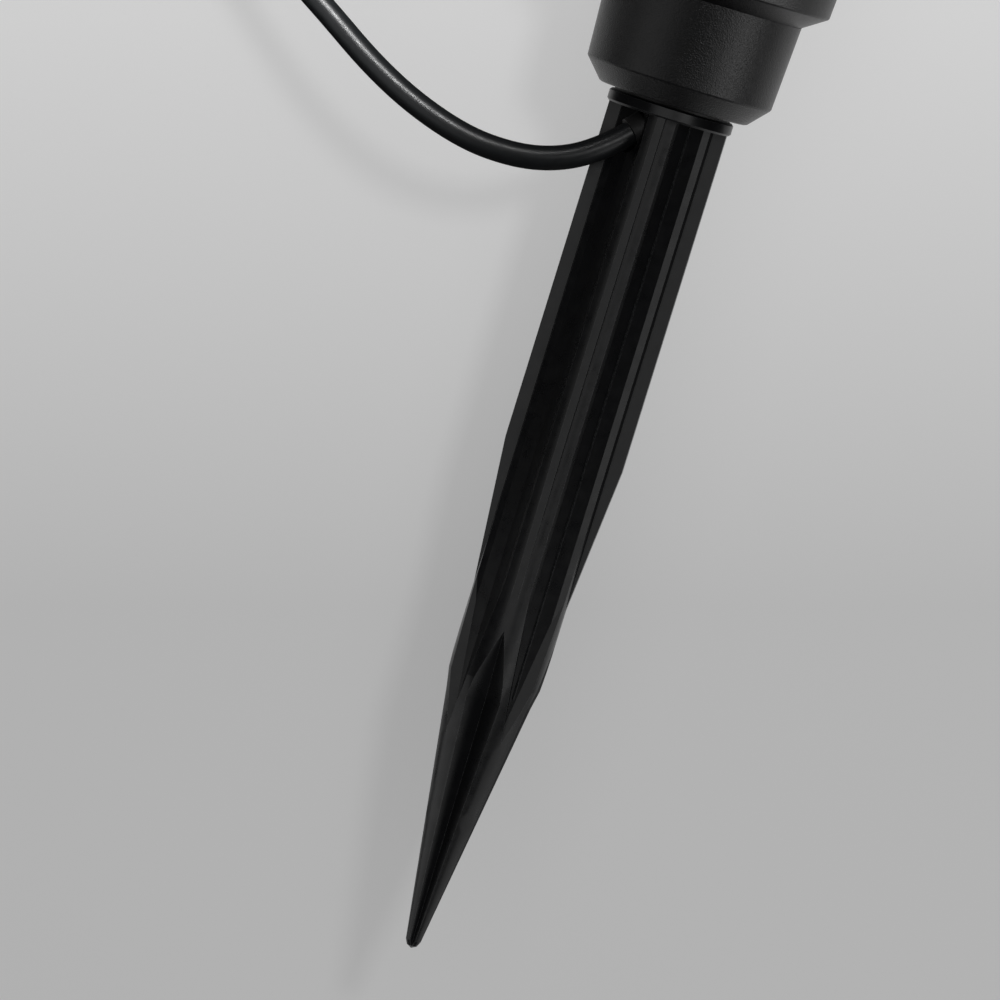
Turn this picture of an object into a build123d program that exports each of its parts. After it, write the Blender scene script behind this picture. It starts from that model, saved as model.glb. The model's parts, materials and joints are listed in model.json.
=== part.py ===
"""Garden light projector on a ground stake, lying on its side as it is laid down.

Frame: +Z up from the floor, +Y along the stake from its tip to the head, +X to the right.
A station is a distance along the stake's axis from the flange's underside, positive
towards the head.  All sizes are in millimetres.
"""

import os
from math import cos, pi, radians, sin, tan

from build123d import *

# ---------------------------------------------------------------- driving dimensions
TIP = -218.0            # station of the stake's point
HEAD_FRONT = 206.0      # station of the front of the lens retainer
HEAD_HALF = 42.0        # half of the head's square side
RIB_LEAN = 6.0          # the ribs lean this many degrees about the axis

FLANGE_Y = -(TIP + HEAD_FRONT) / 2
AXIS_Z = HEAD_HALF

CABLE_D = 6.2
CABLE_R = CABLE_D / 2

# stake
CORE_R = 12.1           # round body that the flutes are cut into
FIN_R = 15.35           # outside of the thin fins
FIN_HALF = 0.95
FIN_FULL_END = -88.0    # the fins are full height down to here
FIN_END = -125.3        # and run out here
CONE_TOP = -147.0
NOSE = -213.9
NOSE_R = 2.3
FLUTE_END = -161.0      # point of the upper flutes
SEAM_LOW = -150.0       # lower end of the mould line on the flute floors
NOTCH_TOP = -133.0      # point of the lower notches
NOTCH_DEEP = -152.0
FLANGE_R = 16.1
FLANGE_T = 3.2
SPIGOT_R = 9.8
SPIGOT_TOP = 16.0
BORE_R = 7.0
BORE_END = -13.0
WINDOW_R = 4.0

# base cup and turret
CUP_BOTTOM = 3.9
CUP_TOP = 31.0
RIM_R = 24.3            # the cup's rim runs in a groove under the turret
RIM_TOP = 31.9
SHELF_LOW = 22.0
SHELF_TOP = 28.0
JOURNAL_R = 15.0
JOURNAL_CLEAR = 0.06
JOURNAL_END = 18.6
TURRET_LOW = 31.08
GROOVE_TOP = 32.0
TURRET_TOP = 56.0
TURRET_R = 31.5
YOKE_TOP = 59.5
BOSS_RING = 25.5
BOSS_R = 3.6
BOSS_LOW = 37.5         # the bosses start above the chamfer, so they stay inside the wall

# tilt hinge
PIVOT = 92.0
EAR_IN = 8.0
EAR_OUT = 14.0
EAR_R = 12.0
LUG_HALF = 7.0
LUG_R = 11.5
BOLT_R = 3.0
HINGE_CLEAR = 0.05

# head
HEAD_BACK = 107.0
BACK_HALF = 20.0
SHOULDER = 145.0
SEAM = 165.0
SEAM_GAP = 0.4
FACE = 190.0
WALL = 2.6
EDGE_R = 7.0
CORNER_BOSS = 35.5
BARREL_R = 21.5
BARREL_IN = 18.6
WHEEL_X = -13.0
WHEEL_Z = -13.0
WHEEL_R = 25.0
WINDOW_RING = (WHEEL_X**2 + WHEEL_Z**2) ** 0.5
BUTTON_AT = 176.0

# cable
EXIT = Vector(-7.2, -5.5, 5.85)                 # x, station, height above the axis
EXIT_WAY = Vector(-0.68, -0.69, 0.25).normalized()
COIL_X = -100.0
COIL_AT = 62.0
COIL_IN = 26.7          # radius of the innermost of the coil's turns
COIL_TURNS = 4          # turns side by side in each of its two layers
TIE_T = 0.7
TIE_WIDE = 12.0
PLUG_AT = 107.0         # station of the cable end of the plug's strain relief
PLUG_Z = 7.0
PLUG_THICK = 13.6
PIN_R = 2.0
PIN_PITCH = 18.6
PIN_OUT = 16.0

os.makedirs("parts", exist_ok=True)

ORIGIN = Vector(0, FLANGE_Y, AXIS_Z)
ACROSS = Plane(origin=ORIGIN, x_dir=(1, 0, 0), z_dir=(0, 1, 0))     # local y points down
SIDE = Plane(origin=ORIGIN, x_dir=(1, 0, 0), z_dir=(0, 0, 1))       # local y is the station
SPIN = Axis(ORIGIN, (0, 1, 0))
RIB_X = Vector(cos(radians(RIB_LEAN)), 0, sin(radians(RIB_LEAN)))
RIB_Y = Vector(sin(radians(RIB_LEAN)), 0, -cos(radians(RIB_LEAN)))
RIBS = Plane(origin=ORIGIN, x_dir=RIB_X, z_dir=(0, 1, 0))


def point(x, station, height):
    """A point given by x, its station and its height above the floor."""
    return Vector(x, FLANGE_Y + station, height)


def turn(*outline, mode=Mode.ADD):
    """Revolve an outline of (radius, station) points about the stake's axis."""
    with BuildSketch(SIDE) as profile:
        with BuildLine():
            Polyline(*outline, close=True)
        make_face()
    revolve(profile.sketch, axis=SPIN, mode=mode)


def ring(outer, inner, low, high, mode=Mode.ADD):
    """A ring or, with no inner radius, a disc about the stake's axis."""
    with BuildSketch(ACROSS.offset(low)) as section:
        Circle(outer)
        if inner:
            Circle(inner, mode=Mode.SUBTRACT)
    extrude(section.sketch, amount=high - low, mode=mode)


def rods(places, radius, low, high, mode=Mode.ADD):
    """Round rods along the axis at (x, height above the axis) places."""
    with BuildSketch(ACROSS.offset(low)) as section:
        with Locations(*[(x, -height) for x, height in places]):
            Circle(radius)
    extrude(section.sketch, amount=high - low, mode=mode)


def box(x_range, station_range, height_range, mode=Mode.ADD):
    """A box given by its x, station and height ranges, heights from the axis."""
    centre = point(sum(x_range) / 2, sum(station_range) / 2, AXIS_Z + sum(height_range) / 2)
    with Locations(centre):
        Box(
            x_range[1] - x_range[0],
            station_range[1] - station_range[0],
            height_range[1] - height_range[0],
            mode=mode,
        )


def pillar(x, station, radius, low, high, mode=Mode.ADD):
    """A vertical rod from height low to high above the axis."""
    with BuildSketch(Plane.XY.offset(AXIS_Z + low)) as section:
        with Locations((x, FLANGE_Y + station)):
            Circle(radius)
    extrude(section.sketch, amount=high - low, mode=mode)


def save(part, name):
    part.label = name
    export_step(part, f"parts/{name}.step")


# ---------------------------------------------------------------- ground stake
with BuildPart() as fins:
    with BuildSketch(RIBS.offset(FIN_END - 1)):
        Rectangle(2 * FIN_R + 2, 2 * FIN_HALF)
        Rectangle(2 * FIN_HALF, 2 * FIN_R + 2)
    extrude(amount=-FIN_END + 2)
    turn(
        (0, FIN_END - 1),
        (CORE_R - 0.1, FIN_END - 1),
        (CORE_R, FIN_END),
        (FIN_R, FIN_FULL_END),
        (FIN_R, 1),
        (0, 1),
        mode=Mode.INTERSECT,
    )

# A flute lies between two ribs: flat floor, slightly dished to a line, and drafted walls.
FLOOR_EDGE = (9.9, 4.1)
WALL_OUT = (16.5, 1.8)
FLOOR_MID = 6.6
with BuildPart() as flute:
    with BuildSketch(RIBS.offset(FLUTE_END - 1)):
        with BuildLine():
            Polyline(
                FLOOR_EDGE,
                WALL_OUT,
                (WALL_OUT[0], WALL_OUT[0]),
                (WALL_OUT[1], WALL_OUT[0]),
                (FLOOR_EDGE[1], FLOOR_EDGE[0]),
                (FLOOR_MID, FLOOR_MID),
                close=True,
            )
        make_face()
    extrude(amount=-FLUTE_END + 1)
    flute_side = ((3.0, 1), (3.0, -117), (7.0, FLUTE_END), (17, FLUTE_END), (17, 1))
    for plane, reach in (
        (Plane(origin=ORIGIN, x_dir=RIB_Y, z_dir=RIB_X), 20),
        (Plane(origin=ORIGIN, x_dir=RIB_X, z_dir=-RIB_Y), -20),
    ):
        with BuildSketch(plane):
            with BuildLine():
                Polyline(*flute_side, close=True)
            make_face()
        extrude(amount=reach, mode=Mode.INTERSECT)

# A notch is a right-angled groove on a rib, from a point down to the stake's tip.
NOTCH_LINE = ((NOTCH_TOP, 12.3), (NOTCH_DEEP, 6.1), (TIP - 1, 0.9))
with BuildPart() as notch:
    for upper, lower in zip(NOTCH_LINE, NOTCH_LINE[1:]):
        for station, root in (upper, lower):
            with BuildSketch(RIBS.offset(station)):
                with BuildLine():
                    Polyline((root, 0), (root + 9, 9), (root + 9, -9), close=True)
                make_face()
        loft(ruled=True)

window = Plane(origin=point(EXIT.X, EXIT.Y, AXIS_Z + EXIT.Z), z_dir=EXIT_WAY)
with BuildPart() as ground_stake:
    turn(
        (0, TIP),
        (1.3, TIP + 0.7),
        (2.0, TIP + 2.0),
        (NOSE_R, NOSE),
        (CORE_R, CONE_TOP),
        (CORE_R, 0),
        (FLANGE_R - 0.5, 0),
        (FLANGE_R, 0.5),
        (FLANGE_R, FLANGE_T - 0.5),
        (FLANGE_R - 0.5, FLANGE_T),
        (SPIGOT_R, FLANGE_T),
        (SPIGOT_R, SPIGOT_TOP - 0.6),
        (SPIGOT_R - 0.6, SPIGOT_TOP),
        (BORE_R, SPIGOT_TOP),
        (BORE_R, BORE_END),
        (0, BORE_END - 3),
    )
    add(fins.part)
    for quarter in range(4):
        add(flute.part.rotate(SPIN, 90 * quarter), mode=Mode.SUBTRACT)
        add(notch.part.rotate(SPIN, 90 * quarter), mode=Mode.SUBTRACT)
    # the thin line that the mould halves leave on the floor of two opposite flutes
    with BuildSketch(RIBS.offset(SEAM_LOW)):
        with PolarLocations(FLOOR_MID * 2**0.5 - 0.3, 2, start_angle=-45, angular_range=360):
            Rectangle(1.3, 0.3)
    extrude(amount=-SEAM_LOW)
    with BuildSketch(window.offset(-11)):
        Circle(WINDOW_R)
    extrude(amount=17, mode=Mode.SUBTRACT)
save(ground_stake.part, "ground_stake")

with BuildPart() as flange_seal:
    ring(FLANGE_R - 1.1, SPIGOT_R + 0.1, FLANGE_T, CUP_BOTTOM)
save(flange_seal.part, "flange_seal")

with BuildPart() as cable_grommet:
    with BuildSketch(window.offset(-3.0)):
        Circle(WINDOW_R - 0.05)
        Circle(CABLE_R + 0.05, mode=Mode.SUBTRACT)
    extrude(amount=4.0)
save(cable_grommet.part, "cable_grommet")

# ---------------------------------------------------------------- base cup
with BuildPart() as base_cup:
    turn(
        (SPIGOT_R + 0.15, CUP_BOTTOM),
        (18.7, CUP_BOTTOM),
        (19.3, 4.15),
        (23.7, 8.95),
        (23.95, 9.4),
        (25.1, CUP_TOP),
        (RIM_R, CUP_TOP),
        (RIM_R, RIM_TOP),
        (22.4, RIM_TOP),
        (22.4, SHELF_TOP),
        (JOURNAL_R + JOURNAL_CLEAR, SHELF_TOP),
        (JOURNAL_R + JOURNAL_CLEAR, SHELF_LOW),
        (22.1, SHELF_LOW),
        (21.3, 10.2),
        (16.6, 6.9),
        (SPIGOT_R + 0.15, 6.9),
    )
save(base_cup.part, "base_cup")

with BuildPart() as spigot_nut:
    with BuildSketch(ACROSS.offset(6.9)):
        RegularPolygon(15.0, 6)
        Circle(SPIGOT_R + 0.05, mode=Mode.SUBTRACT)
    extrude(amount=4.0)
save(spigot_nut.part, "spigot_nut")

# ---------------------------------------------------------------- cable inside the stake
CABLE_TURN = EXIT - EXIT_WAY * 9.5
cable_end = EXIT + EXIT_WAY
with BuildPart() as strain_stop:
    with BuildSketch(ACROSS.offset(SPIGOT_TOP)):
        Circle(8.6)
        with Locations((CABLE_TURN.X, -CABLE_TURN.Z)):
            Circle(CABLE_R, mode=Mode.SUBTRACT)
    extrude(amount=2.4)
save(strain_stop.part, "strain_stop")

with BuildPart() as inner_cable:
    with BuildLine() as inner_route:
        FilletPolyline(
            point(CABLE_TURN.X, 50, AXIS_Z + CABLE_TURN.Z),
            point(CABLE_TURN.X, CABLE_TURN.Y, AXIS_Z + CABLE_TURN.Z),
            point(cable_end.X, cable_end.Y, AXIS_Z + cable_end.Z),
            radius=9.0,
        )
    with BuildSketch(Plane(origin=inner_route.line @ 0, z_dir=inner_route.line % 0)):
        Circle(CABLE_R)
    sweep()
save(inner_cable.part, "inner_cable")


# ---------------------------------------------------------------- free cable
def fillet_radii(points):
    """The largest useful bend at each inner point of a route, and its turn."""
    radii = []
    for before, here, after in zip(points, points[1:], points[2:]):
        run_in = here - before
        run_out = after - here
        half_turn = radians(run_in.get_angle(run_out)) / 2
        radii.append(0.45 * min(run_in.length, run_out.length) / tan(half_turn))
    return radii


def cable(points):
    """A round cable along straight runs joined by tangent arcs."""
    radii = fillet_radii(points)
    with BuildPart() as tube:
        with BuildLine() as route:
            FilletPolyline(*points, radius=radii)
        with BuildSketch(Plane(origin=route.line @ 0, z_dir=route.line % 0)):
            Circle(CABLE_R)
        sweep()
    length = sum(edge.length for edge in route.edges())
    print("cable radii", [round(r, 1) for r in radii], "length", round(length, 1))
    print("  volume", round(tube.part.volume), "of", round(pi * CABLE_R**2 * length))
    return tube.part


LAY_Z = TIE_T + CABLE_R
COIL_WIDE = COIL_TURNS * CABLE_D
COIL_TALL = 2 * CABLE_D
COIL_OUT = COIL_IN + (COIL_TURNS - 1) * CABLE_D
COIL_MID = (COIL_IN + COIL_OUT) / 2
COIL_CENTRE = point(COIL_X, COIL_AT, 0)
first_bend = cable_end + EXIT_WAY * 7.5
power_cable = cable(
    [
        ORIGIN + cable_end,
        ORIGIN + first_bend,
        point(-22.0, -17.2, 51.5),
        point(-33.5, -20.0, 51.7),
        point(-48.9, -19.2, 50.2),
        point(-70.0, -11.8, 45.0),
        point(-94.0, 3.2, 37.5),
        point(-116.0, 15.0, 26.0),
        point(-134.5, 30.0, 13.0),
        point(-143.0, 48.0, LAY_Z + CABLE_D),
    ]
)
save(power_cable, "power_cable")


def coil_section(station, grow_wide, grow_tall, radius):
    """Sketch of the coil's bundle, seen along the stake at its right-hand side."""
    plane = Plane(origin=point(COIL_X, station, 0), x_dir=(1, 0, 0), z_dir=(0, -1, 0))
    with BuildSketch(plane) as section:
        with Locations((COIL_MID, TIE_T + COIL_TALL / 2)):
            RectangleRounded(COIL_WIDE + grow_wide, COIL_TALL + grow_tall, radius)
    return section.sketch


with BuildPart() as cable_coil:
    revolve(coil_section(COIL_AT, 0, 0, 0.9 * CABLE_R), axis=Axis(COIL_CENTRE, (0, 0, 1)))
save(cable_coil.part, "cable_coil")

TIE_ROOM = 1.2          # the turns bow out this much across the tie
with BuildPart() as cable_tie:
    tie_start = COIL_AT + TIE_WIDE / 2
    extrude(coil_section(tie_start, TIE_ROOM + 2 * TIE_T, 2 * TIE_T, 3.0), amount=TIE_WIDE)
    extrude(coil_section(tie_start, TIE_ROOM, 0, 2.4), amount=TIE_WIDE, mode=Mode.SUBTRACT)
save(cable_tie.part, "cable_tie")

TAIL_X = COIL_X - COIL_OUT
PLUG_X = TAIL_X - 1.0
cable_tail = cable(
    [
        point(TAIL_X, COIL_AT, LAY_Z),
        point(TAIL_X, COIL_AT + 15, LAY_Z),
        point(PLUG_X, PLUG_AT - 14, PLUG_Z),
        point(PLUG_X, PLUG_AT, PLUG_Z),
    ]
)
save(cable_tail, "cable_tail")


def plug_plane(station):
    """Plane across the plug, with its x to the right."""
    return Plane(origin=point(PLUG_X, station, PLUG_Z), x_dir=(1, 0, 0), z_dir=(0, 1, 0))


RELIEF_END = PLUG_AT + 22
with BuildPart() as plug_relief:
    for station, radius in ((PLUG_AT, CABLE_R + 0.9), (RELIEF_END, 5.2)):
        with BuildSketch(plug_plane(station)):
            Circle(radius)
    loft()
save(plug_relief.part, "plug_relief")

PLUG_FACE = RELIEF_END + 30
with BuildPart() as plug_body:
    for station, width, thick in (
        (RELIEF_END, 13, 12),
        (RELIEF_END + 10, 24, PLUG_THICK),
        (PLUG_FACE, 26, PLUG_THICK),
    ):
        with BuildSketch(plug_plane(station)):
            RectangleRounded(width, thick, 5.5)
    loft()
save(plug_body.part, "plug_body")

with BuildPart() as plug_pins:
    with BuildSketch(plug_plane(PLUG_FACE)):
        with GridLocations(PIN_PITCH, 1, 2, 1):
            Circle(PIN_R)
    extrude(amount=PIN_OUT)
    fillet(plug_pins.edges().group_by(Axis.Y)[-1], PIN_R * 0.6)
save(plug_pins.part, "plug_pins")

# ---------------------------------------------------------------- turret
BOSSES = [(BOSS_RING * cos(radians(a)), BOSS_RING * sin(radians(a))) for a in (45, 135, 225, 315)]
with BuildPart() as turret_housing:
    turn(
        (11, JOURNAL_END),
        (JOURNAL_R, JOURNAL_END),
        (JOURNAL_R, 19.6),
        (14, 19.6),
        (14, 21.4),
        (JOURNAL_R, 21.4),
        (JOURNAL_R, TURRET_LOW),
        (22.3, TURRET_LOW),
        (22.3, GROOVE_TOP),
        (RIM_R + 0.1, GROOVE_TOP),
        (RIM_R + 0.1, TURRET_LOW),
        (25.1, TURRET_LOW),
        (25.3, 31.25),
        (30.8, 34.95),
        (31.05, 35.4),
        (31.35, 40.1),
        (TURRET_R, 53.5),
        (30.6, TURRET_TOP),
        (28.4, TURRET_TOP),
        (28.4, 37.2),
        (24.3, 33.8),
        (11, 33.8),
    )
    rods(BOSSES, BOSS_R, BOSS_LOW, TURRET_TOP)
    rods(BOSSES, 1.55, BOSS_LOW + 7, TURRET_TOP, mode=Mode.SUBTRACT)
save(turret_housing.part, "turret_housing")

with BuildPart() as retaining_ring:
    ring(17.6, 14.05, 19.7, 21.3)
    box((-3, 3), (19, 22), (12, 19), mode=Mode.SUBTRACT)
save(retaining_ring.part, "retaining_ring")

with BuildPart() as wave_washer:
    ring(18.6, JOURNAL_R + 0.1, 21.4, SHELF_LOW - 0.05)
save(wave_washer.part, "wave_washer")

with BuildPart() as yoke:
    turn((0, TURRET_TOP), (30.6, TURRET_TOP), (30.6, 57.6), (28.7, YOKE_TOP), (0, YOKE_TOP))
    ear_outline = (
        (-18, YOKE_TOP - 1),
        (18, YOKE_TOP - 1),
        (EAR_R, 72),
        (EAR_R, PIVOT),
        (-EAR_R, PIVOT),
        (-EAR_R, 72),
    )
    for low in (EAR_IN, -EAR_OUT):
        with BuildSketch(SIDE.offset(low)):
            with BuildLine():
                Polyline(*ear_outline, close=True)
            make_face()
            with Locations((0, PIVOT)):
                Circle(EAR_R)
        extrude(amount=EAR_OUT - EAR_IN)
    pillar(0, PIVOT, BOLT_R + 0.1, -EAR_OUT - 1, EAR_OUT + 1, mode=Mode.SUBTRACT)
    ring(9, 0, TURRET_TOP - 1, YOKE_TOP - 2.2, mode=Mode.SUBTRACT)
    rods(BOSSES, 1.7, TURRET_TOP - 1, YOKE_TOP + 1, mode=Mode.SUBTRACT)
save(yoke.part, "yoke")

with BuildPart() as yoke_screws:
    rods(BOSSES, 1.5, 46, YOKE_TOP)
    rods(BOSSES, 2.9, YOKE_TOP, YOKE_TOP + 2)
    slot_depth = (YOKE_TOP + 1.2, YOKE_TOP + 3)
    for x, height in BOSSES:
        for wide, tall in ((2.1, 0.4), (0.4, 2.1)):
            box((x - wide, x + wide), slot_depth, (height - tall, height + tall), mode=Mode.SUBTRACT)
save(yoke_screws.part, "yoke_screws")

with BuildPart() as tilt_bolt:
    pillar(0, PIVOT, BOLT_R, -EAR_OUT, 26.5)
    pillar(0, PIVOT, 6.5, -EAR_OUT - 3.6, -EAR_OUT)
    fillet(tilt_bolt.edges().sort_by(Axis.Z)[0], 2.0)
save(tilt_bolt.part, "tilt_bolt")

with BuildPart() as friction_washers:
    for low in (LUG_HALF + 0.05, -EAR_IN + 0.05):
        with BuildSketch(Plane.XY.offset(AXIS_Z + low)):
            with Locations((0, FLANGE_Y + PIVOT)):
                Circle(10)
                Circle(BOLT_R + 0.1, mode=Mode.SUBTRACT)
        extrude(amount=EAR_IN - LUG_HALF - 0.1)
save(friction_washers.part, "friction_washers")

with BuildPart() as spring_washer:
    with BuildSketch(Plane.XY.offset(AXIS_Z + EAR_OUT)):
        with Locations((0, FLANGE_Y + PIVOT)):
            Circle(7)
            Circle(BOLT_R + 0.1, mode=Mode.SUBTRACT)
    extrude(amount=1.1)
save(spring_washer.part, "spring_washer")

with BuildPart() as tilt_knob:
    with BuildSketch(Plane.XY.offset(AXIS_Z + EAR_OUT + 1.2)):
        with Locations((0, FLANGE_Y + PIVOT)):
            Circle(10.8)
            with PolarLocations(10.2, 7):
                Circle(2.7)
    extrude(amount=13.5)
    fillet(tilt_knob.edges().group_by(Axis.Z)[-1], 1.2)
    pillar(0, PIVOT, BOLT_R + HINGE_CLEAR, EAR_OUT, 27, mode=Mode.SUBTRACT)
save(tilt_knob.part, "tilt_knob")


# ---------------------------------------------------------------- head housing
def head_block(inset):
    """The head's rounded wedge-backed block, drawn in by inset on every side."""
    outline = (
        (-BACK_HALF, HEAD_BACK),
        (BACK_HALF, HEAD_BACK),
        (HEAD_HALF, SHOULDER),
        (HEAD_HALF, FACE),
        (-HEAD_HALF, FACE),
        (-HEAD_HALF, SHOULDER),
    )
    half = HEAD_HALF - inset
    with BuildPart() as block:
        with BuildSketch(SIDE.offset(-half)) as plan:
            with BuildLine():
                Polyline(*outline, close=True)
            make_face()
            offset(amount=-inset, kind=Kind.INTERSECTION)
            fillet(plan.vertices(), EDGE_R - inset)
        extrude(amount=2 * half)
        fillet(block.faces().filter_by(Axis.Z).edges(), EDGE_R - inset - 0.2)
    return block.part


head_outside = head_block(0)
head_inside = head_block(WALL)
seal_outside = head_block(0.7)
CORNERS = [(x, z) for x in (-CORNER_BOSS, CORNER_BOSS) for z in (-CORNER_BOSS, CORNER_BOSS)]
SINK_POSTS = [(x, z) for x in (-28, 28) for z in (-20, 20)]
BOARD_POSTS = [(x, s) for x in (-14, 14) for s in (122, 138)]

with BuildPart() as rear_housing:
    add(head_outside)
    split(bisect_by=ACROSS.offset(SEAM - SEAM_GAP), keep=Keep.BOTTOM)
    add(head_inside, mode=Mode.SUBTRACT)
    box((-9, 9), (PIVOT, HEAD_BACK + 1), (-LUG_HALF, LUG_HALF))
    pillar(0, PIVOT, LUG_R, -LUG_HALF, LUG_HALF)
    pillar(0, PIVOT, BOLT_R + HINGE_CLEAR, -LUG_HALF, LUG_HALF, mode=Mode.SUBTRACT)
    rods(CORNERS, 4.5, 149, SEAM - SEAM_GAP)
    rods(CORNERS, 1.55, 149, SEAM, mode=Mode.SUBTRACT)
    rods(SINK_POSTS, 3, 128, 140)
    for x, station in BOARD_POSTS:
        pillar(x, station, 1.8, -HEAD_HALF + 1, -34)
save(rear_housing.part, "rear_housing")

with BuildPart() as housing_seal:
    add(seal_outside)
    split(bisect_by=ACROSS.offset(SEAM - SEAM_GAP), keep=Keep.TOP)
    split(bisect_by=ACROSS.offset(SEAM + SEAM_GAP), keep=Keep.BOTTOM)
    add(head_inside, mode=Mode.SUBTRACT)
save(housing_seal.part, "housing_seal")

with BuildPart() as front_housing:
    add(head_outside)
    split(bisect_by=ACROSS.offset(SEAM + SEAM_GAP), keep=Keep.TOP)
    add(head_inside, mode=Mode.SUBTRACT)
    ring(BARREL_R + 0.2, 0, FACE - 5, FACE + 1, mode=Mode.SUBTRACT)
    rods(CORNERS, 4.5, SEAM + SEAM_GAP, FACE - 1)
    rods(CORNERS, 1.7, SEAM, FACE + 1, mode=Mode.SUBTRACT)
    rods(CORNERS, 3.3, FACE - 4, FACE + 1, mode=Mode.SUBTRACT)
    for x in (-8, 8):
        pillar(x, BUTTON_AT, 2, 32, HEAD_HALF - 1)
    pillar(0, BUTTON_AT, 4.65, 38, HEAD_HALF + 1, mode=Mode.SUBTRACT)
save(front_housing.part, "front_housing")

with BuildPart() as housing_screws:
    rods(CORNERS, 1.5, 151, FACE - 4)
    rods(CORNERS, 3.0, FACE - 4, FACE - 1.4)
    rods(CORNERS, 1.3, FACE - 2.8, FACE, mode=Mode.SUBTRACT)
save(housing_screws.part, "housing_screws")

# ---------------------------------------------------------------- lamp and optics
with BuildPart() as heat_sink:
    box((-31.5, 31.5), (140, 148), (-24, 24))
    for number in range(9):
        middle = -22 + 5.5 * number
        box((-20, 20), (126, 140), (middle - 0.9, middle + 0.9))
save(heat_sink.part, "heat_sink")

STANDOFFS = [(x, z) for x in (-26, 26) for z in (-20, 20)]
with BuildPart() as standoffs:
    rods(STANDOFFS, 2.4, 148, 161)
save(standoffs.part, "standoffs")

with BuildPart() as led_board:
    box((-13, 13), (148, 149.6), (-13, 13))
save(led_board.part, "led_board")


def lens(radius, back, edge_back, edge_front, front):
    """A round lens; its faces are arcs from the edge to the axis."""
    with BuildSketch(SIDE) as profile:
        with BuildLine():
            if back == edge_back:
                Line((0, back), (radius, back))
            else:
                rise = edge_back - back
                RadiusArc((0, back), (radius, edge_back), -(radius**2 + rise**2) / (2 * rise))
            Line((radius, edge_back), (radius, edge_front))
            rise = front - edge_front
            RadiusArc((radius, edge_front), (0, front), -(radius**2 + rise**2) / (2 * rise))
            Line((0, front), (0, back))
        make_face()
    revolve(profile.sketch, axis=SPIN)


with BuildPart() as led_chip:
    box((-3.5, 3.5), (149.6, 150.4), (-3.5, 3.5))
    lens(2.8, 150.4, 150.4, 150.6, 152.6)
save(led_chip.part, "led_chip")

with BuildPart() as condenser_holder:
    turn((8, 149.65), (10.2, 149.65), (10.2, 159.5), (9.25, 159.5), (9.25, 153.4), (8, 153.4))
save(condenser_holder.part, "condenser_holder")


with BuildPart() as condenser_lens:
    lens(9.2, 153.45, 153.45, 155.0, 158.5)
save(condenser_lens.part, "condenser_lens")

with BuildPart() as chassis_plate:
    with BuildSketch(ACROSS.offset(161)):
        RectangleRounded(66, 66, 9)
        Circle(8, mode=Mode.SUBTRACT)
        with Locations((WHEEL_X, -WHEEL_Z)):
            Circle(2.2, mode=Mode.SUBTRACT)
    extrude(amount=2)
save(chassis_plate.part, "chassis_plate")

WHEEL_SPOT = [(WHEEL_X, WHEEL_Z)]
with BuildPart() as wheel_motor:
    rods(WHEEL_SPOT, 7.5, 150, 161)
    rods(WHEEL_SPOT, 2.0, 161, 162.6)
    rods(WHEEL_SPOT, 1.0, 162, 168)
save(wheel_motor.part, "wheel_motor")

WINDOW_ANGLES = [radians(45 + 60 * number) for number in range(6)]
WINDOWS = [(WHEEL_X + WINDOW_RING * cos(a), WHEEL_Z + WINDOW_RING * sin(a)) for a in WINDOW_ANGLES]
with BuildPart() as pattern_wheel:
    rods(WHEEL_SPOT, WHEEL_R, 163.6, 164.8)
    rods(WHEEL_SPOT, 3.6, 163.3, 167.4)
    rods(WHEEL_SPOT, 1.04, 163, 168, mode=Mode.SUBTRACT)
    rods(WINDOWS, 5.5, 163, 166, mode=Mode.SUBTRACT)
save(pattern_wheel.part, "pattern_wheel")

with BuildPart() as pattern_film:
    rods(WHEEL_SPOT, WHEEL_R - 0.5, 164.8, 165.1)
    rods(WHEEL_SPOT, 3.8, 164, 166, mode=Mode.SUBTRACT)
save(pattern_film.part, "pattern_film")

with BuildPart() as lens_barrel:
    turn(
        (BARREL_IN, 172),
        (BARREL_R, 172),
        (BARREL_R, 183.8),
        (28, 183.8),
        (28, FACE - WALL - 0.05),
        (BARREL_R, FACE - WALL - 0.05),
        (BARREL_R, 203),
        (BARREL_IN, 203),
        (BARREL_IN, 198.2),
        (17, 198.2),
        (17, 196.5),
        (BARREL_IN, 196.5),
    )
save(lens_barrel.part, "lens_barrel")

with BuildPart() as focus_cell:
    turn(
        (14, 176),
        (BARREL_IN - 0.05, 176),
        (BARREL_IN - 0.05, 190),
        (15.5, 190),
        (15.5, 178),
        (14, 178),
    )
save(focus_cell.part, "focus_cell")

with BuildPart() as projection_lens:
    lens(15.45, 178.05, 180.0, 182.6, 187.0)
save(projection_lens.part, "projection_lens")

with BuildPart() as focus_ring:
    with BuildSketch(ACROSS.offset(194)):
        Circle(26)
        with PolarLocations(26.3, 40):
            Circle(0.9, mode=Mode.SUBTRACT)
        Circle(BARREL_R + HINGE_CLEAR, mode=Mode.SUBTRACT)
    extrude(amount=8.7)
save(focus_ring.part, "focus_ring")

with BuildPart() as glass_seal:
    ring(BARREL_IN - 0.05, 16.8, 198.2, 198.9)
save(glass_seal.part, "glass_seal")

with BuildPart() as front_glass:
    ring(BARREL_IN - 0.05, 0, 198.9, 201.1)
save(front_glass.part, "front_glass")

with BuildPart() as glass_retainer:
    turn(
        (16.5, 201.15),
        (BARREL_IN - 0.05, 201.15),
        (BARREL_IN - 0.05, 203.0),
        (23.6, 203.0),
        (23.6, 205.0),
        (22.6, HEAD_FRONT),
        (17.5, HEAD_FRONT),
        (16.5, 205.0),
    )
save(glass_retainer.part, "glass_retainer")

with BuildPart() as front_bezel:
    turn((BARREL_R + 0.2, FACE), (33, FACE), (33, 192.4), (31.8, 193.6), (BARREL_R + 0.2, 193.6))
save(front_bezel.part, "front_bezel")

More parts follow.
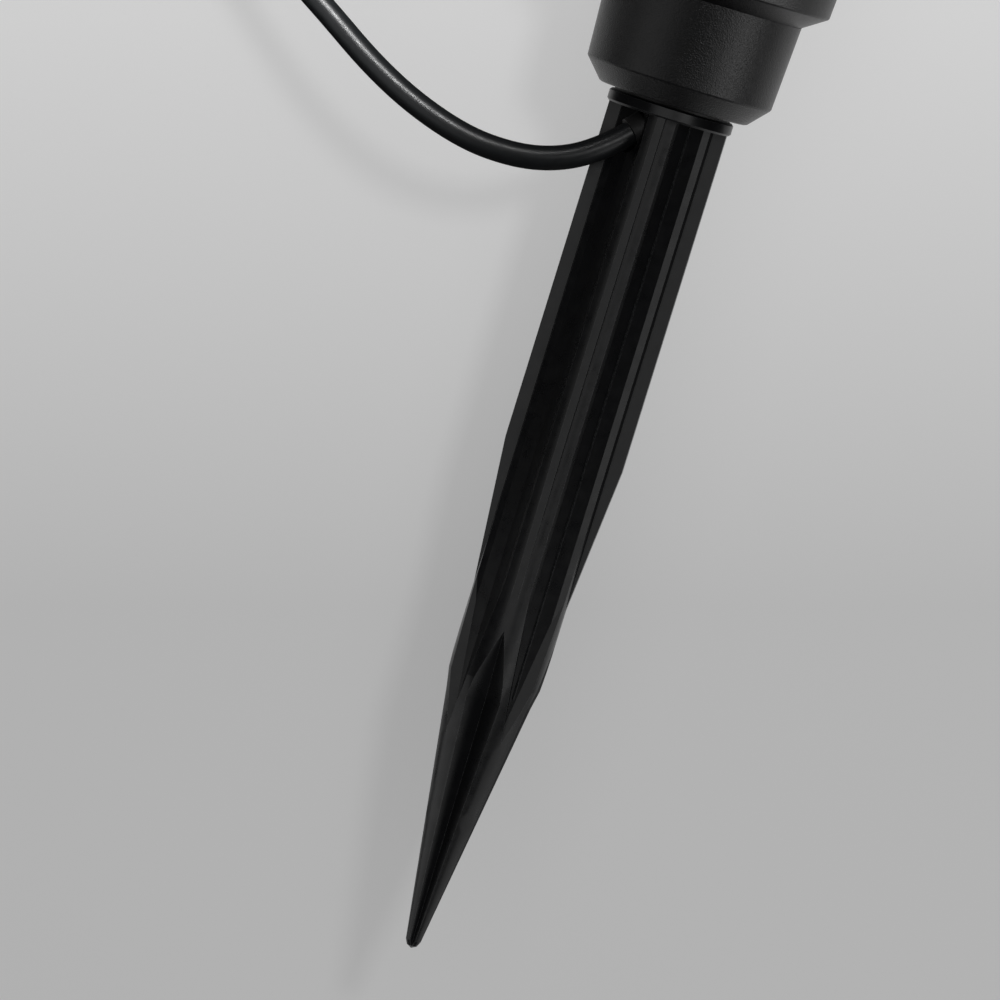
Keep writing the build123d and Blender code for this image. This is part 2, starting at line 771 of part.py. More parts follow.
# ---------------------------------------------------------------- electrics and button
with BuildPart() as power_module:
    box((-19, 19), (118, 146), (26, 38))
    fillet(power_module.edges().filter_by(Axis.Z), 2)
save(power_module.part, "power_module")

with BuildPart() as driver_board:
    box((-18, 18), (118, 142), (-34, -32.4))
save(driver_board.part, "driver_board")

with BuildPart() as driver_parts:
    pillar(-10, 126, 4, -32.4, -26)
    pillar(-10, 135.5, 3.2, -32.4, -27)
    box((3, 14), (121, 132), (-32.4, -27.5))
    box((1, 15), (134.5, 139.5), (-32.4, -29))
save(driver_parts.part, "driver_parts")

with BuildPart() as switch_board:
    box((-11, 11), (169, 183), (30.4, 32))
save(switch_board.part, "switch_board")

with BuildPart() as mode_switch:
    box((-3, 3), (BUTTON_AT - 3, BUTTON_AT + 3), (32, 35.6))
    pillar(0, BUTTON_AT, 1.7, 35.6, 36.55)
save(mode_switch.part, "mode_switch")

with BuildPart() as mode_button:
    pillar(0, BUTTON_AT, 4.5, 37.9, 43.4)
    fillet(mode_button.edges().sort_by(Axis.Z)[-1], 0.8)
    pillar(0, BUTTON_AT, 5.6, 37.9, 39.0)
save(mode_button.part, "mode_button")
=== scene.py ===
"""Looks of a garden light projector on its ground stake, lying on a pale studio floor.

All lengths are metres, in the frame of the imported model: +Z up, +Y along the stake from its
tip to the head, +X to the right.  A station is a distance along the stake's axis from the
flange's underside, positive towards the head, as in the CAD source.
"""

import json
from math import cos, pi, radians, sin, tan

import bmesh
import bpy
from mathutils import Matrix, Vector

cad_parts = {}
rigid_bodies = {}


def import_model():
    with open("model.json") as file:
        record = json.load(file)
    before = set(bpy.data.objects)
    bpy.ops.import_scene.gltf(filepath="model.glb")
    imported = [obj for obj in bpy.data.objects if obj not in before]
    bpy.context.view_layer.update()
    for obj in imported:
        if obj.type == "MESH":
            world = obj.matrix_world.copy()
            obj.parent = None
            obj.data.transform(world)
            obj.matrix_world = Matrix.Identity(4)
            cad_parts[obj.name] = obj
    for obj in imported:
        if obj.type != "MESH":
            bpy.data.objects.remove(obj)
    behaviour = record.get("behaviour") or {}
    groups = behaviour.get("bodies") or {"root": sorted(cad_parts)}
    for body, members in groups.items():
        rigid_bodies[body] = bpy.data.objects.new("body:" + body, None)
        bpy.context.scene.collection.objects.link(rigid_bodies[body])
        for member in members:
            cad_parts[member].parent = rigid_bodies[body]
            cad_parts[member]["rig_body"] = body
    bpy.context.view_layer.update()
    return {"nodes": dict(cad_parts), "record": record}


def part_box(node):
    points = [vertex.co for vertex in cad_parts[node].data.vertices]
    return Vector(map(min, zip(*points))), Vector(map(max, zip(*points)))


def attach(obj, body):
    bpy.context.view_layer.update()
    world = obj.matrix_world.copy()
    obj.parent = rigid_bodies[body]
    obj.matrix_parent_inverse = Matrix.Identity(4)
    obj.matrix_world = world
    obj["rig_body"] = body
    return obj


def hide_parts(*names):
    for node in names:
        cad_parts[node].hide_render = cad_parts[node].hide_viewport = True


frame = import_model()

# ---------------------------------------------------------------- places from the frame
FLANGE_THICK = 0.0032
seal_low, seal_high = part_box("flange_seal")
AXIS_Z = (seal_low.z + seal_high.z) / 2
FLANGE_Y = seal_low.y - FLANGE_THICK
FLOOR_Z = 0.0
FLOOR_GAP = 0.0003               # the studio sheet lies this far under the model


def point(x, station, height):
    """A point given by its x, its station and its height above the floor."""
    return Vector((x, FLANGE_Y + station, height))


# ---------------------------------------------------------------- camera
FIELD = 0.250                    # width of the view in the plane of the stake's axis
CAMERA_AWAY = 2.5
CAMERA_LEAN = radians(4.5)       # the camera stands a little towards the head
PICTURE_TURN = radians(17.26)    # the stake leans this much in the picture
AIM_X = -0.0119
AIM_STATION = -0.1037

picture_right = Vector((cos(PICTURE_TURN), sin(PICTURE_TURN), 0))
picture_up = Vector((-sin(PICTURE_TURN), cos(PICTURE_TURN), 0))


def make_camera():
    aim = point(AIM_X, AIM_STATION, AXIS_Z)
    back = Vector((0, sin(CAMERA_LEAN), cos(CAMERA_LEAN)))
    right = (picture_right - back * picture_right.dot(back)).normalized()
    up = back.cross(right)
    data = bpy.data.cameras.new("camera")
    data.sensor_width = 36
    data.lens = 36 * CAMERA_AWAY / FIELD
    data.clip_start = 0.1
    data.clip_end = 20
    camera = bpy.data.objects.new("camera", data)
    bpy.context.scene.collection.objects.link(camera)
    turn = Matrix((right, up, back)).transposed().to_4x4()
    camera.matrix_world = Matrix.Translation(aim + back * CAMERA_AWAY) @ turn
    bpy.context.scene.camera = camera


make_camera()

# ---------------------------------------------------------------- the cord
CABLE_D = 0.0062
CABLE_R = CABLE_D / 2
CORD_EXIT = point(-0.00788, -0.00619, 0.0481)

COIL_CENTRE = point(-0.100, 0.062, 0)
COIL_IN = 0.0267                 # radius of the innermost turn
COIL_ROWS = (0.0100, 0.0038)     # heights of the upper and the lower layer
COIL_TURNS = 4                   # turns in each layer
POINTS_PER_TURN = 18
COIL_START = radians(166)        # where the cord is down in the coil, anticlockwise from +X
JOG_START = radians(150)         # from here on, each turn steps to its next place in turn:
JOG_STEP = radians(100)          # lower turns step out, the inner one drops, upper ones step in
COIL_END = radians(180)

FREE_ROUTE = (
    CORD_EXIT,
    point(-0.0130, -0.0114, 0.0500),
    point(-0.0220, -0.0172, 0.0515),
    point(-0.0335, -0.0200, 0.0517),
    point(-0.0489, -0.0192, 0.0502),
    point(-0.0700, -0.0118, 0.0450),
    point(-0.0940, 0.0032, 0.0375),
    point(-0.1160, 0.0150, 0.0260),
    point(-0.1320, 0.0289, 0.0175),
    point(-0.1413, 0.0418, 0.0125),
    point(-0.1457, 0.0572, 0.0106),
)
TAIL_ROUTE = (
    point(-0.1453, 0.0770, 0.0038),
    point(-0.1463, 0.0930, 0.0070),
    point(-0.1463, 0.1070, 0.0070),
)


def eased(t):
    """From 0 to 1, with one steady bend each way."""
    t = min(max(t, 0.0), 1.0)
    return 2 * t * t if t < 0.5 else 1 - 2 * (1 - t) ** 2


def smooth_step(t):
    """From 0 to 1, level at both ends."""
    t = min(max(t, 0.0), 1.0)
    return t * t * (3 - 2 * t)


def coil_route():
    """Two flat layers, wound in on the upper one and out on the lower one."""
    steps = 2 * COIL_TURNS - 1
    end = COIL_START - COIL_END + 2 * pi * steps
    count = round(end / (2 * pi) * POINTS_PER_TURN)
    route = []
    for number in range(count + 1):
        travelled = end * number / count
        since_jog = travelled - (COIL_START - JOG_START)
        radius = COIL_IN + (COIL_TURNS - 1) * CABLE_D
        height = COIL_ROWS[0]
        for step in range(steps):
            jogs = (since_jog - 2 * pi * step) / JOG_STEP
            if step < COIL_TURNS - 1:
                radius -= CABLE_D * eased(jogs - 2)
            elif step == COIL_TURNS - 1:
                height -= (COIL_ROWS[0] - COIL_ROWS[1]) * eased(jogs - 1)
            else:
                radius += CABLE_D * eased(jogs)
        angle = COIL_START - travelled
        radius /= cos(pi / POINTS_PER_TURN)
        route.append(COIL_CENTRE + Vector((radius * cos(angle), radius * sin(angle), height)))
    return route


def spline_curve(name, route, radius):
    """A round NURBS curve that the route's points control."""
    data = bpy.data.curves.new(name, "CURVE")
    data.dimensions = "3D"
    data.bevel_depth = 1.0           # the points carry the radius, so the curve's box is true
    data.bevel_resolution = 6
    data.resolution_u = 8
    data.use_fill_caps = True
    spline = data.splines.new("NURBS")
    spline.points.add(len(route) - 1)
    for control, place in zip(spline.points, route):
        control.co = (*place, 1)
        control.radius = radius
    spline.order_u = 3
    spline.use_endpoint_u = True
    piece = bpy.data.objects.new(name, data)
    bpy.context.scene.collection.objects.link(piece)
    return piece


cord = spline_curve("supply_cord", [*FREE_ROUTE, *coil_route(), *TAIL_ROUTE], CABLE_R)
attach(cord, "stake_base")
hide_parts("power_cable", "cable_coil", "cable_tail")

# ---------------------------------------------------------------- materials
EDGE_FLAT = 0.9995               # cosine of the turn at which a face stops being flat
EDGE_TURNED = 0.93               # and of the turn at which an edge is fully worn


class Recipe:
    """A node material built step by step around one Principled shader."""

    def __init__(self, name, **sockets):
        self.material = bpy.data.materials.new(name)
        self.material.use_nodes = True
        self.tree = self.material.node_tree
        self.shader = self.tree.nodes["Principled BSDF"]
        for socket, value in sockets.items():
            self.shader.inputs[socket.replace("_", " ")].default_value = value
        self.place = self.add("ShaderNodeTexCoord").outputs["Object"]

    def add(self, kind, links=(), **settings):
        node = self.tree.nodes.new(kind)
        for key, value in settings.items():
            if hasattr(node, key):
                setattr(node, key, value)
            else:
                node.inputs[key.replace("_", " ")].default_value = value
        for socket, output in dict(links).items():
            self.tree.links.new(output, node.inputs[socket])
        return node

    def link(self, output, socket):
        self.tree.links.new(output, self.shader.inputs[socket])

    def noise(self, size, detail=3.0, rough=0.55, stretch=None):
        """Noise with features about size metres across; stretch scales the axes apart."""
        place = self.place
        if stretch:
            place = self.add("ShaderNodeMapping", {"Vector": place}, Scale=stretch).outputs[0]
        made = self.add(
            "ShaderNodeTexNoise", {"Vector": place}, Scale=1 / size, Detail=detail, Roughness=rough
        )
        return made.outputs["Fac"]

    def ramp(self, value, low, high, to_low, to_high):
        """Value from low to high spread over to_low to to_high, held at the ends."""
        made = self.add("ShaderNodeMapRange", {"Value": value})
        values = {"From Min": low, "From Max": high, "To Min": to_low, "To Max": to_high}
        for key, number in values.items():
            made.inputs[key].default_value = number
        return made.outputs["Result"]

    def blend(self, factor, first, second):
        """Colour between first and second by factor."""
        made = self.add("ShaderNodeMix", data_type="RGBA")
        self.tree.links.new(factor, made.inputs["Factor"])
        for slot, colour in (("A", first), ("B", second)):
            socket = [s for s in made.inputs if s.name == slot and s.type == "RGBA"][0]
            if isinstance(colour, tuple):
                socket.default_value = (*colour, 1)
            else:
                self.tree.links.new(colour, socket)
        return [s for s in made.outputs if s.type == "RGBA"][0]

    def bump(self, height, depth):
        """The surface normal with bumps of a real depth in metres."""
        made = self.add("ShaderNodeBump", {"Height": height}, Strength=1.0, Distance=depth)
        return made.outputs["Normal"]

    def edges(self, radius):
        """A mask that is 1 along edges, worked out from how far a rounded edge would turn."""
        rounded = self.add("ShaderNodeBevel", samples=6, Radius=radius).outputs["Normal"]
        straight = self.add("ShaderNodeNewGeometry").outputs["Normal"]
        same = self.add("ShaderNodeVectorMath", {0: rounded, 1: straight}, operation="DOT_PRODUCT")
        return self.ramp(same.outputs["Value"], EDGE_FLAT, EDGE_TURNED, 0.0, 1.0)

    def times(self, first, second):
        return self.add("ShaderNodeMath", {0: first, 1: second}, operation="MULTIPLY").outputs[0]

    def plus(self, first, second):
        return self.add("ShaderNodeMath", {0: first, 1: second}, operation="ADD").outputs[0]


def shade(colour, factor):
    return tuple(min(1.0, factor * part) for part in colour)


def moulded(name, dark, worn_and_lit, rough, grain, depth, edge=0.00015, specular=0.4):
    """Moulded plastic: fine grain, faint flow marks, and edges painted lighter, partly as rubbed wear
    and partly as a painted edge highlight.
    """
    recipe = Recipe(name, Specular_IOR_Level=specular)
    rubbed_and_lit_edges = recipe.edges(edge)
    flow = recipe.noise(0.012, stretch=(1.0, 0.25, 1.0))
    fine = recipe.noise(grain, detail=2.0, rough=0.5)
    cloud = recipe.noise(0.004, detail=4.0)
    nicks = recipe.noise(0.0007, detail=1.0)
    # edges painted lighter: partly rubbed wear, partly a painted highlight along the edges, broken
    # into dashes by the nicks
    wear_and_highlight = recipe.times(rubbed_and_lit_edges, recipe.ramp(nicks, 0.35, 0.6, 0.25, 1.0))
    tone = recipe.blend(recipe.ramp(flow, 0.35, 0.65, 0.0, 1.0), dark, shade(dark, 1.35))
    recipe.link(recipe.blend(wear_and_highlight, tone, worn_and_lit), "Base Color")
    recipe.link(recipe.ramp(cloud, 0.3, 0.7, rough - 0.05, rough + 0.05), "Roughness")
    recipe.link(recipe.bump(fine, depth), "Normal")
    return recipe.material


def eroded(name, dark, rough, pit, depth, edge=0.0003, specular=0.5):
    """Spark-eroded matt plastic: shallow rounded pits whose rims sparkle."""
    recipe = Recipe(name, Specular_IOR_Level=specular)
    rubbed_and_lit_edges = recipe.edges(edge)
    pits = recipe.add("ShaderNodeTexVoronoi", {"Vector": recipe.place}, Scale=1 / pit)
    fine = recipe.noise(pit * 0.7, detail=2.0)
    cloud = recipe.noise(0.006, detail=4.0)
    tone = recipe.blend(recipe.ramp(cloud, 0.3, 0.7, 0.0, 1.0), dark, shade(dark, 1.4))
    # edges painted lighter: partly rubbed wear, partly a painted highlight along the edges
    recipe.link(recipe.blend(rubbed_and_lit_edges, tone, shade(dark, 3.0)), "Base Color")
    recipe.link(recipe.ramp(fine, 0.3, 0.7, rough - 0.08, rough + 0.08), "Roughness")
    recipe.link(recipe.bump(recipe.plus(pits.outputs["Distance"], fine), depth), "Normal")
    return recipe.material


def rubber(name, dark, rough, specular=0.5, grain=0.0009, depth=0.000004):
    """Smooth extruded or moulded rubber with faint clouds and streaks."""
    recipe = Recipe(name, Specular_IOR_Level=specular)
    cloud = recipe.noise(0.003, detail=4.0)
    tone = recipe.blend(recipe.ramp(cloud, 0.35, 0.65, 0.0, 1.0), dark, shade(dark, 1.3))
    recipe.link(tone, "Base Color")
    recipe.link(recipe.ramp(recipe.noise(0.0012), 0.3, 0.7, rough - 0.04, rough + 0.05), "Roughness")
    recipe.link(recipe.bump(recipe.noise(grain, detail=2.0), depth), "Normal")
    return recipe.material


def metal(name, colour, rough, grain, depth, stretch=None):
    """Plated, turned or cast metal with fine marks and brighter rubbed edges."""
    recipe = Recipe(name, Metallic=1.0)
    marks = recipe.noise(grain, detail=3.0, stretch=stretch)
    cloud = recipe.noise(0.005, detail=4.0)
    tone = recipe.blend(recipe.ramp(cloud, 0.3, 0.7, 0.0, 1.0), shade(colour, 0.82), colour)
    recipe.link(recipe.blend(recipe.edges(0.0002), tone, shade(colour, 1.2)), "Base Color")
    recipe.link(recipe.ramp(marks, 0.3, 0.7, rough - 0.07, rough + 0.1), "Roughness")
    recipe.link(recipe.bump(marks, depth), "Normal")
    return recipe.material


def clear_glass(name):
    """Pressed lens glass with a little dust."""
    recipe = Recipe(name, Base_Color=(0.97, 0.99, 0.98, 1), IOR=1.5, Transmission_Weight=1.0)
    dust = recipe.noise(0.0015, detail=5.0)
    recipe.link(recipe.ramp(dust, 0.55, 0.8, 0.02, 0.16), "Roughness")
    return recipe.material


def circuit_board(name):
    """Green solder mask over copper tracks, with a fibre weave under it."""
    recipe = Recipe(name, Specular_IOR_Level=0.5, Coat_Weight=0.4, Coat_Roughness=0.2)
    tracks = recipe.add(
        "ShaderNodeTexBrick",
        {"Vector": recipe.place},
        Scale=180.0,
        Mortar_Size=0.035,
        Mortar_Smooth=0.2,
    )
    weave = recipe.noise(0.0006, detail=2.0)
    cloud = recipe.ramp(weave, 0.3, 0.7, 0.0, 1.0)
    mask = recipe.blend(cloud, (0.010, 0.075, 0.028), (0.014, 0.10, 0.04))
    recipe.link(recipe.blend(tracks.outputs["Fac"], mask, (0.05, 0.22, 0.07)), "Base Color")
    recipe.link(recipe.ramp(weave, 0.3, 0.7, 0.3, 0.42), "Roughness")
    recipe.link(recipe.bump(tracks.outputs["Fac"], 0.00003), "Normal")
    return recipe.material


def pattern_film(name):
    """Dark slide film with small round dots in plain colours."""
    recipe = Recipe(name, Specular_IOR_Level=0.5)
    dots = recipe.add("ShaderNodeTexVoronoi", {"Vector": recipe.place}, Scale=420.0)
    dots.inputs["Randomness"].default_value = 0.6
    colour = recipe.add("ShaderNodeHueSaturation", {"Color": dots.outputs["Color"]}, Saturation=2.0)
    inside = recipe.ramp(dots.outputs["Distance"], 0.25, 0.33, 1.0, 0.0)
    recipe.link(recipe.blend(inside, (0.006, 0.006, 0.007), colour.outputs["Color"]), "Base Color")
    recipe.link(recipe.ramp(recipe.noise(0.002), 0.3, 0.7, 0.12, 0.22), "Roughness")
    return recipe.material


def phosphor(name):
    """Yellow phosphor over the lamp's chips, in a white frame."""
    recipe = Recipe(name)
    grains = recipe.noise(0.0004, detail=3.0)
    cloud = recipe.ramp(grains, 0.3, 0.7, 0.0, 1.0)
    recipe.link(recipe.blend(cloud, (0.80, 0.56, 0.07), (0.90, 0.74, 0.22)), "Base Color")
    recipe.link(recipe.ramp(grains, 0.3, 0.7, 0.35, 0.6), "Roughness")
    recipe.link(recipe.bump(grains, 0.00002), "Normal")
    return recipe.material


MATERIALS = {
    "stake_plastic": moulded(
        "stake_plastic", (0.0022, 0.0023, 0.0028), (0.060, 0.061, 0.063), 0.30, 0.0004, 0.000006
    ),
    "textured_plastic": eroded("textured_plastic", (0.0045, 0.0045, 0.005), 0.34, 0.0004, 0.00006),
    "smooth_plastic": moulded(
        "smooth_plastic", (0.0055, 0.0055, 0.006), (0.03, 0.03, 0.03), 0.34, 0.0003, 0.000004
    ),
    "knob_plastic": moulded(
        "knob_plastic", (0.007, 0.007, 0.0075), (0.035, 0.035, 0.035), 0.32, 0.0003, 0.000004
    ),
    "inner_plastic": moulded(
        "inner_plastic",
        (0.66, 0.65, 0.60),
        (0.78, 0.77, 0.73),
        0.45,
        0.0005,
        0.000006,
        specular=0.5,
    ),
    "tie_plastic": moulded(
        "tie_plastic", (0.009, 0.009, 0.010), (0.04, 0.04, 0.04), 0.42, 0.0006, 0.00002
    ),
    "potting": moulded("potting", (0.012, 0.012, 0.013), (0.02, 0.02, 0.02), 0.22, 0.0020, 0.00004),
    "component_case": moulded(
        "component_case", (0.022, 0.022, 0.024), (0.10, 0.10, 0.10), 0.42, 0.0003, 0.000006
    ),
    "cable_jacket": rubber("cable_jacket", (0.009, 0.010, 0.011), 0.38, depth=0.000001),
    "plug_rubber": rubber("plug_rubber", (0.009, 0.009, 0.010), 0.42, grain=0.0004, depth=0.00001),
    "button_rubber": rubber("button_rubber", (0.030, 0.030, 0.031), 0.58, grain=0.0004, depth=0.00001),
    "seal_rubber": rubber("seal_rubber", (0.008, 0.008, 0.008), 0.55),
    "pin_metal": metal("pin_metal", (0.72, 0.70, 0.66), 0.22, 0.0004, 0.000003, (1.0, 0.15, 1.0)),
    "steel": metal("steel", (0.58, 0.58, 0.59), 0.34, 0.0005, 0.000005),
    "aluminium": metal("aluminium", (0.70, 0.70, 0.71), 0.42, 0.0009, 0.00002),
    "glass": clear_glass("glass"),
    "film": pattern_film("film"),
    "circuit_board": circuit_board("circuit_board"),
    "led_white": phosphor("led_white"),
}


def finish_nodes():
    """Give every CAD node the material of its record slot."""
    for subpart in frame["record"]["subparts"]:
        piece = frame["nodes"][subpart["node"]]
        material = MATERIALS[subpart["material_slot"]]
        piece.data.materials.clear()
        piece.data.materials.append(material)


finish_nodes()
cord.data.materials.append(MATERIALS["cable_jacket"])

# ---------------------------------------------------------------- pieces on the cord
CREASE = radians(38)


def skinned(name, rings, node, slot):
    """A closed skin over rings of points, shaded smooth up to its creases, in place of a CAD node."""
    made = bmesh.new()
    grid = [[made.verts.new(place) for place in ring] for ring in rings]
    for lower, upper in zip(grid, grid[1:]):
        for here in range(len(lower)):
            there = (here + 1) % len(lower)
            made.faces.new((lower[here], lower[there], upper[there], upper[here]))
    made.faces.new(list(reversed(grid[0])))
    made.faces.new(grid[-1])
    bmesh.ops.recalc_face_normals(made, faces=made.faces)
    for face in made.faces:
        face.smooth = True
    for edge in made.edges:
        edge.smooth = edge.calc_face_angle(0.0) < CREASE
    data = bpy.data.meshes.new(name)
    made.to_mesh(data)
    made.free()
    data.materials.append(MATERIALS[slot])
    piece = bpy.data.objects.new(name, data)
    bpy.context.scene.collection.objects.link(piece)
    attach(piece, "stake_base")
    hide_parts(node)
    return piece


def power(value, exponent):
    """A power that keeps the value's sign."""
    return (1 if value >= 0 else -1) * abs(value) ** exponent


def oval(width, height, squareness, count):
    """Points of a superellipse: squareness 2 is an ellipse, and more is nearer to a rectangle."""
    for number in range(count):
        angle = 2 * pi * number / count
        across = width / 2 * power(cos(angle), 2 / squareness)
        yield across, height / 2 * power(sin(angle), 2 / squareness)


plug_low, plug_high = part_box("plug_body")
PLUG_THICK = 0.0136
PLUG_SHAPE = (                   # share of the length, width, height and squareness
    (0.0, 0.0130, 0.0116, 2.2),
    (0.12, 0.0160, 0.0126, 2.4),
    (0.34, 0.0240, 0.0136, 2.8),
    (0.94, 0.0260, 0.0136, 3.4),
    (1.0, 0.0246, 0.0124, 3.4),
)
RIDGES_FROM, RIDGES_TO = 0.36, 0.80     # the finger ridges' shares of the length
RIDGES = 6
RIDGE_DEEP = 0.0009
TIE_LAYER = 0.00034
TIE_TURNS = 1.22
PLUG_X = (plug_low.x + plug_high.x) / 2
PLUG_Z = (plug_low.z + plug_high.z) / 2


def plug_ring(y, width, height, squareness, count=48):
    return [Vector((PLUG_X + a, y, PLUG_Z + b)) for a, b in oval(width, height, squareness, count)]


def make_relief():
    """Tapered sleeve with slots all round, which let the real sleeve bend; here it is one fixed shape.
    """
    low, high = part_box("plug_relief")
    long = high.y - low.y
    thin, thick, groove = 0.0080, 0.0104, 0.0013
    steps = 66
    rings = [plug_ring(low.y, thin - 0.0010, thin - 0.0010, 2)]
    for step in range(1, steps):
        part = step / steps
        width = thin + (thick - thin) * part
        if 0.10 < part < 0.82 and step % 6 in (0, 1):
            width -= groove
        rings.append(plug_ring(low.y + long * part, width, width, 2))
    rings.append(plug_ring(high.y, thick, thick, 2))
    return skinned("plug_relief_ribbed", rings, "plug_relief", "plug_rubber")


def make_plug():
    """Flat two-pin plug with a waist, finger ridges and a rounded face."""
    back, front = plug_low.y, plug_high.y
    steps = 60
    rings = []
    for step in range(steps + 1):
        part = step / steps
        for first, second in zip(PLUG_SHAPE, PLUG_SHAPE[1:]):
            if part <= second[0]:
                break
        t = smooth_step((part - first[0]) / (second[0] - first[0]))
        width, height, squareness = (a + (b - a) * t for a, b in zip(first[1:], second[1:]))
        if RIDGES_FROM < part < RIDGES_TO:
            along = (part - RIDGES_FROM) / (RIDGES_TO - RIDGES_FROM)
            width -= RIDGE_DEEP * (0.5 - 0.5 * cos(2 * pi * along * RIDGES))
        y = back + (front - back) * part
        rings.append(plug_ring(y, width, min(height, PLUG_THICK), squareness))
    return skinned("plug_body_moulded", rings, "plug_body", "plug_rubber")


def make_tie():
    """Flat strap wound once and a quarter round the coil, its end lying on the top."""
    low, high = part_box("cable_tie")
    middle = (low + high) / 2
    layer = TIE_LAYER
    width, height = high.x - low.x - 4 * layer, high.z - low.z - 4 * layer
    count = 150
    rings = []
    for step in range(count + 1):
        part = TIE_TURNS * step / count
        angle = radians(118) - 2 * pi * part
        lift = layer * (0.5 + 1.05 * smooth_step((part - 0.86) / 0.12))
        places = []
        for grow in (-0.45 * layer, 0.45 * layer):
            across = (width / 2 + lift + grow) * power(cos(angle), 2 / 5)
            rise = (height / 2 + lift + grow) * power(sin(angle), 2 / 5)
            places.append(Vector((middle.x + across, 0, middle.z + rise)))
        inner, outer = places
        end = 1 - 0.3 * smooth_step((part - TIE_TURNS + 0.03) / 0.03)
        half = (high.y - low.y) / 2 * end
        edge = 0.0003
        rings.append(
            [
                inner + Vector((0, middle.y - half, 0)),
                inner + Vector((0, middle.y + half, 0)),
                outer + Vector((0, middle.y + half - edge, 0)),
                outer + Vector((0, middle.y - half + edge, 0)),
            ]
        )
    return skinned("cable_tie_strap", rings, "cable_tie", "tie_plastic")


make_relief()
make_plug()
make_tie()

# ---------------------------------------------------------------- floor and light
def make_floor():
    """A pale studio sheet with a painted gradient of light, lighter towards the head's end."""
    mesh = bpy.data.meshes.new("floor")
    half = 1.6
    corners = [(-half, -half, 0), (half, -half, 0), (half, half, 0), (-half, half, 0)]
    mesh.from_pydata(corners, [], [(0, 1, 2, 3)])
    floor = bpy.data.objects.new("floor", mesh)
    floor.location.z = FLOOR_Z - FLOOR_GAP
    bpy.context.scene.collection.objects.link(floor)
    recipe = Recipe("studio_sheet", Roughness=0.9, Specular_IOR_Level=0.0)
    along = recipe.add("ShaderNodeVectorMath", {0: recipe.place}, operation="DOT_PRODUCT")
    along.inputs[1].default_value = picture_up
    # painted light: the sheet's colour rises towards the head's end, where the light would fall
    # stronger
    rise = recipe.ramp(along.outputs["Value"], -0.12, 0.03, 0.0, 1.0)
    recipe.link(recipe.blend(rise, (0.70, 0.70, 0.70), (0.98, 0.98, 0.98)), "Base Color")
    mesh.materials.append(recipe.material)
    floor.visible_diffuse = False
    floor.visible_glossy = False
    return floor


WORLD_STRENGTH = 0.03
STAKE_MIDDLE = point(0, -0.06, AXIS_Z)
GLOW_MIDDLE = point(0, -0.06, FLOOR_Z)
STAKE_GLOW_MIDDLE = point(0.018, -0.06, FLOOR_Z)
CONE_MIDDLE = point(0, -0.175, AXIS_Z)
CORD_MIDDLE = point(-0.112, 0.010, 0.030)


def panel(name, toward, away, width, length, luminance, lights, aim=STAKE_MIDDLE, blockers=None):
    """A soft rectangular light that looks at aim and reaches only the pieces in lights."""
    data = bpy.data.lights.new(name, "AREA")
    data.shape = "RECTANGLE"
    data.size = width
    data.size_y = length
    data.energy = luminance * pi * width * length
    light = bpy.data.objects.new(name, data)
    bpy.context.scene.collection.objects.link(light)
    toward = Vector(toward).normalized()
    across = Vector((1, 0, 0)) if abs(toward.x) < 0.9 else Vector((0, 1, 0))
    across = (across - toward * toward.dot(across)).normalized()
    turn = Matrix((across, toward.cross(across), toward)).transposed().to_4x4()
    light.matrix_world = Matrix.Translation(aim + toward * away) @ turn
    light.visible_camera = False
    linking = light.light_linking
    for kind, pieces in (("receiver", lights), ("blocker", blockers)):
        if pieces is not None:
            group = bpy.data.collections.new(name + "_" + kind)
            for piece in pieces:
                group.objects.link(piece)
            setattr(linking, kind + "_collection", group)
    return light


def tilted(across):
    """Direction that leans to the right by this many degrees from straight up."""
    return Vector((tan(radians(across)), 0, 1))


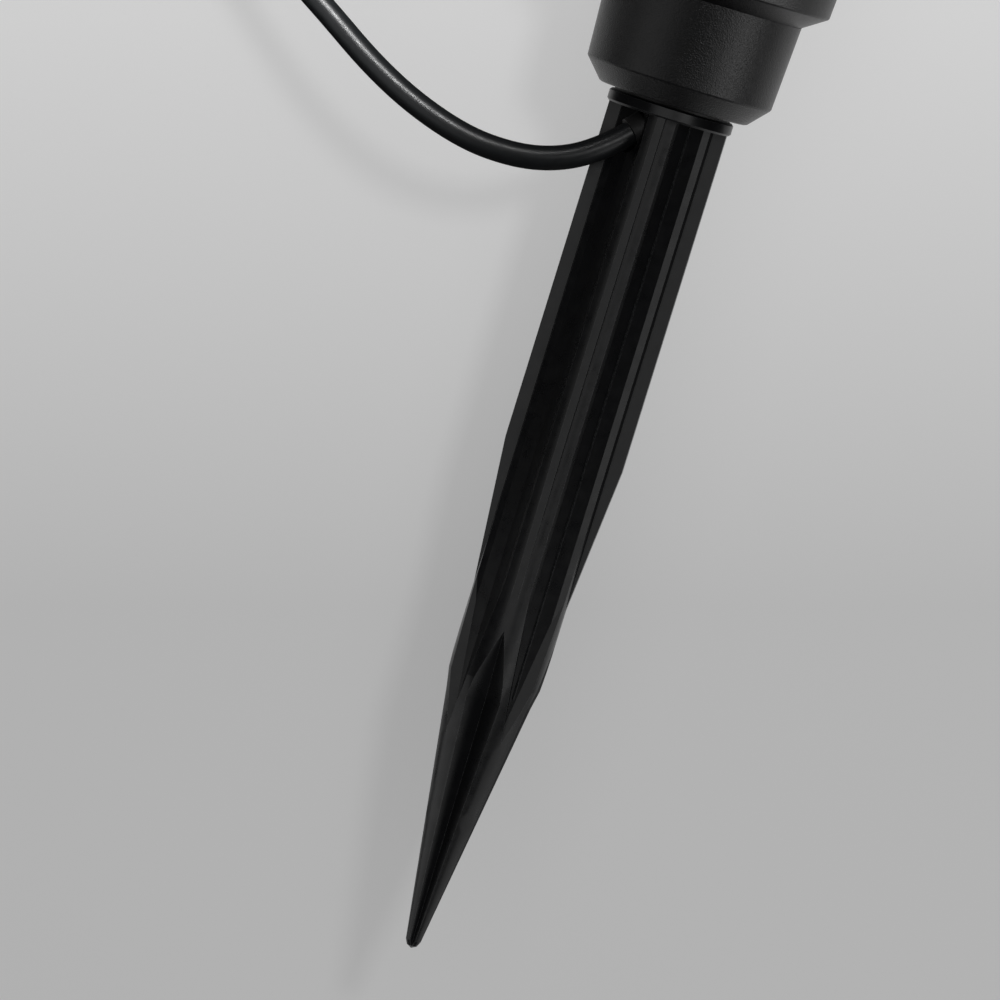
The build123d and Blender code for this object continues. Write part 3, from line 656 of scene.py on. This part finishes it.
def make_light():
    """Soft panels, each linked to the pieces it lights, as a retouched studio picture is lit."""
    world = bpy.data.worlds.new("studio")
    world.use_nodes = True
    background = world.node_tree.nodes["Background"]
    background.inputs["Color"].default_value = (1, 1, 1, 1)
    background.inputs["Strength"].default_value = WORLD_STRENGTH
    bpy.context.scene.world = world
    shown = [o for o in bpy.data.objects if o.type in {"MESH", "CURVE"} and o != floor]
    stake = [frame["nodes"]["ground_stake"]]
    rest = [o for o in shown if o not in stake]
    upper = {"turret", "knob", "head", "wheel", "focus", "cell", "button"}
    head = [o for o in frame["nodes"].values() if o["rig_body"] in upper]
    others = [o for o in rest if o != cord]
    panel("key", (0.256, 0.346, 0.903), 1.2, 0.17, 0.17, 14.0, None)
    fill = panel("floor_fill", (0, 0, 1), 3.0, 4.0, 4.0, 1.53, [floor])
    fill.data.use_shadow = False
    down = (0, 0, -1)            # these two shine up from the sheet, like its own reflection
    panel("floor_glow", down, 0.002, 0.70, 1.0, 0.52, others, GLOW_MIDDLE, blockers=shown)
    panel("stake_glow", down, 0.002, 0.165, 0.6, 0.45, stake, STAKE_GLOW_MIDDLE, blockers=shown)
    panel("stake_top", tilted(-11), 1.3, 0.86, 1.6, 0.68, stake)
    panel("stake_right", tilted(30), 1.2, 0.42, 1.6, 1.15, stake)
    low_left = (-0.9, -0.40, 0.05)
    panel("tip_left", low_left, 0.38, 0.30, 0.34, 0.75, stake, CONE_MIDDLE, blockers=shown)
    low_right = (0.9, -0.40, 0.05)
    panel("tip_right", low_right, 0.38, 0.30, 0.34, 0.62, stake, CONE_MIDDLE, blockers=shown)
    panel("tip_end", (0, -1, 0.8), 0.6, 0.5, 0.4, 1.0, stake, CONE_MIDDLE, blockers=shown)
    panel("side_box", tilted(57), 1.2, 0.65, 0.8, 2.0, rest)
    panel("left_box", tilted(-50), 1.3, 1.3, 1.4, 0.5, rest)
    beside = (-0.108, 0.710, 0.690)
    strip = panel("cord_strip", beside, 0.25, 0.10, 0.08, 2.2, [cord], CORD_MIDDLE)
    strip.data.spread = radians(30)
    panel("head_front", (-0.2, 1, 0.35), 1.0, 0.9, 0.6, 1.8, head)
    panel("head_left", (-1, 0.3, 0.4), 1.0, 0.8, 0.6, 1.3, head)
    panel("head_right", (1, 0.3, 0.4), 1.0, 0.8, 0.6, 1.3, head)


floor = make_floor()
make_light()
scene = bpy.context.scene
scene.view_settings.view_transform = "Standard"
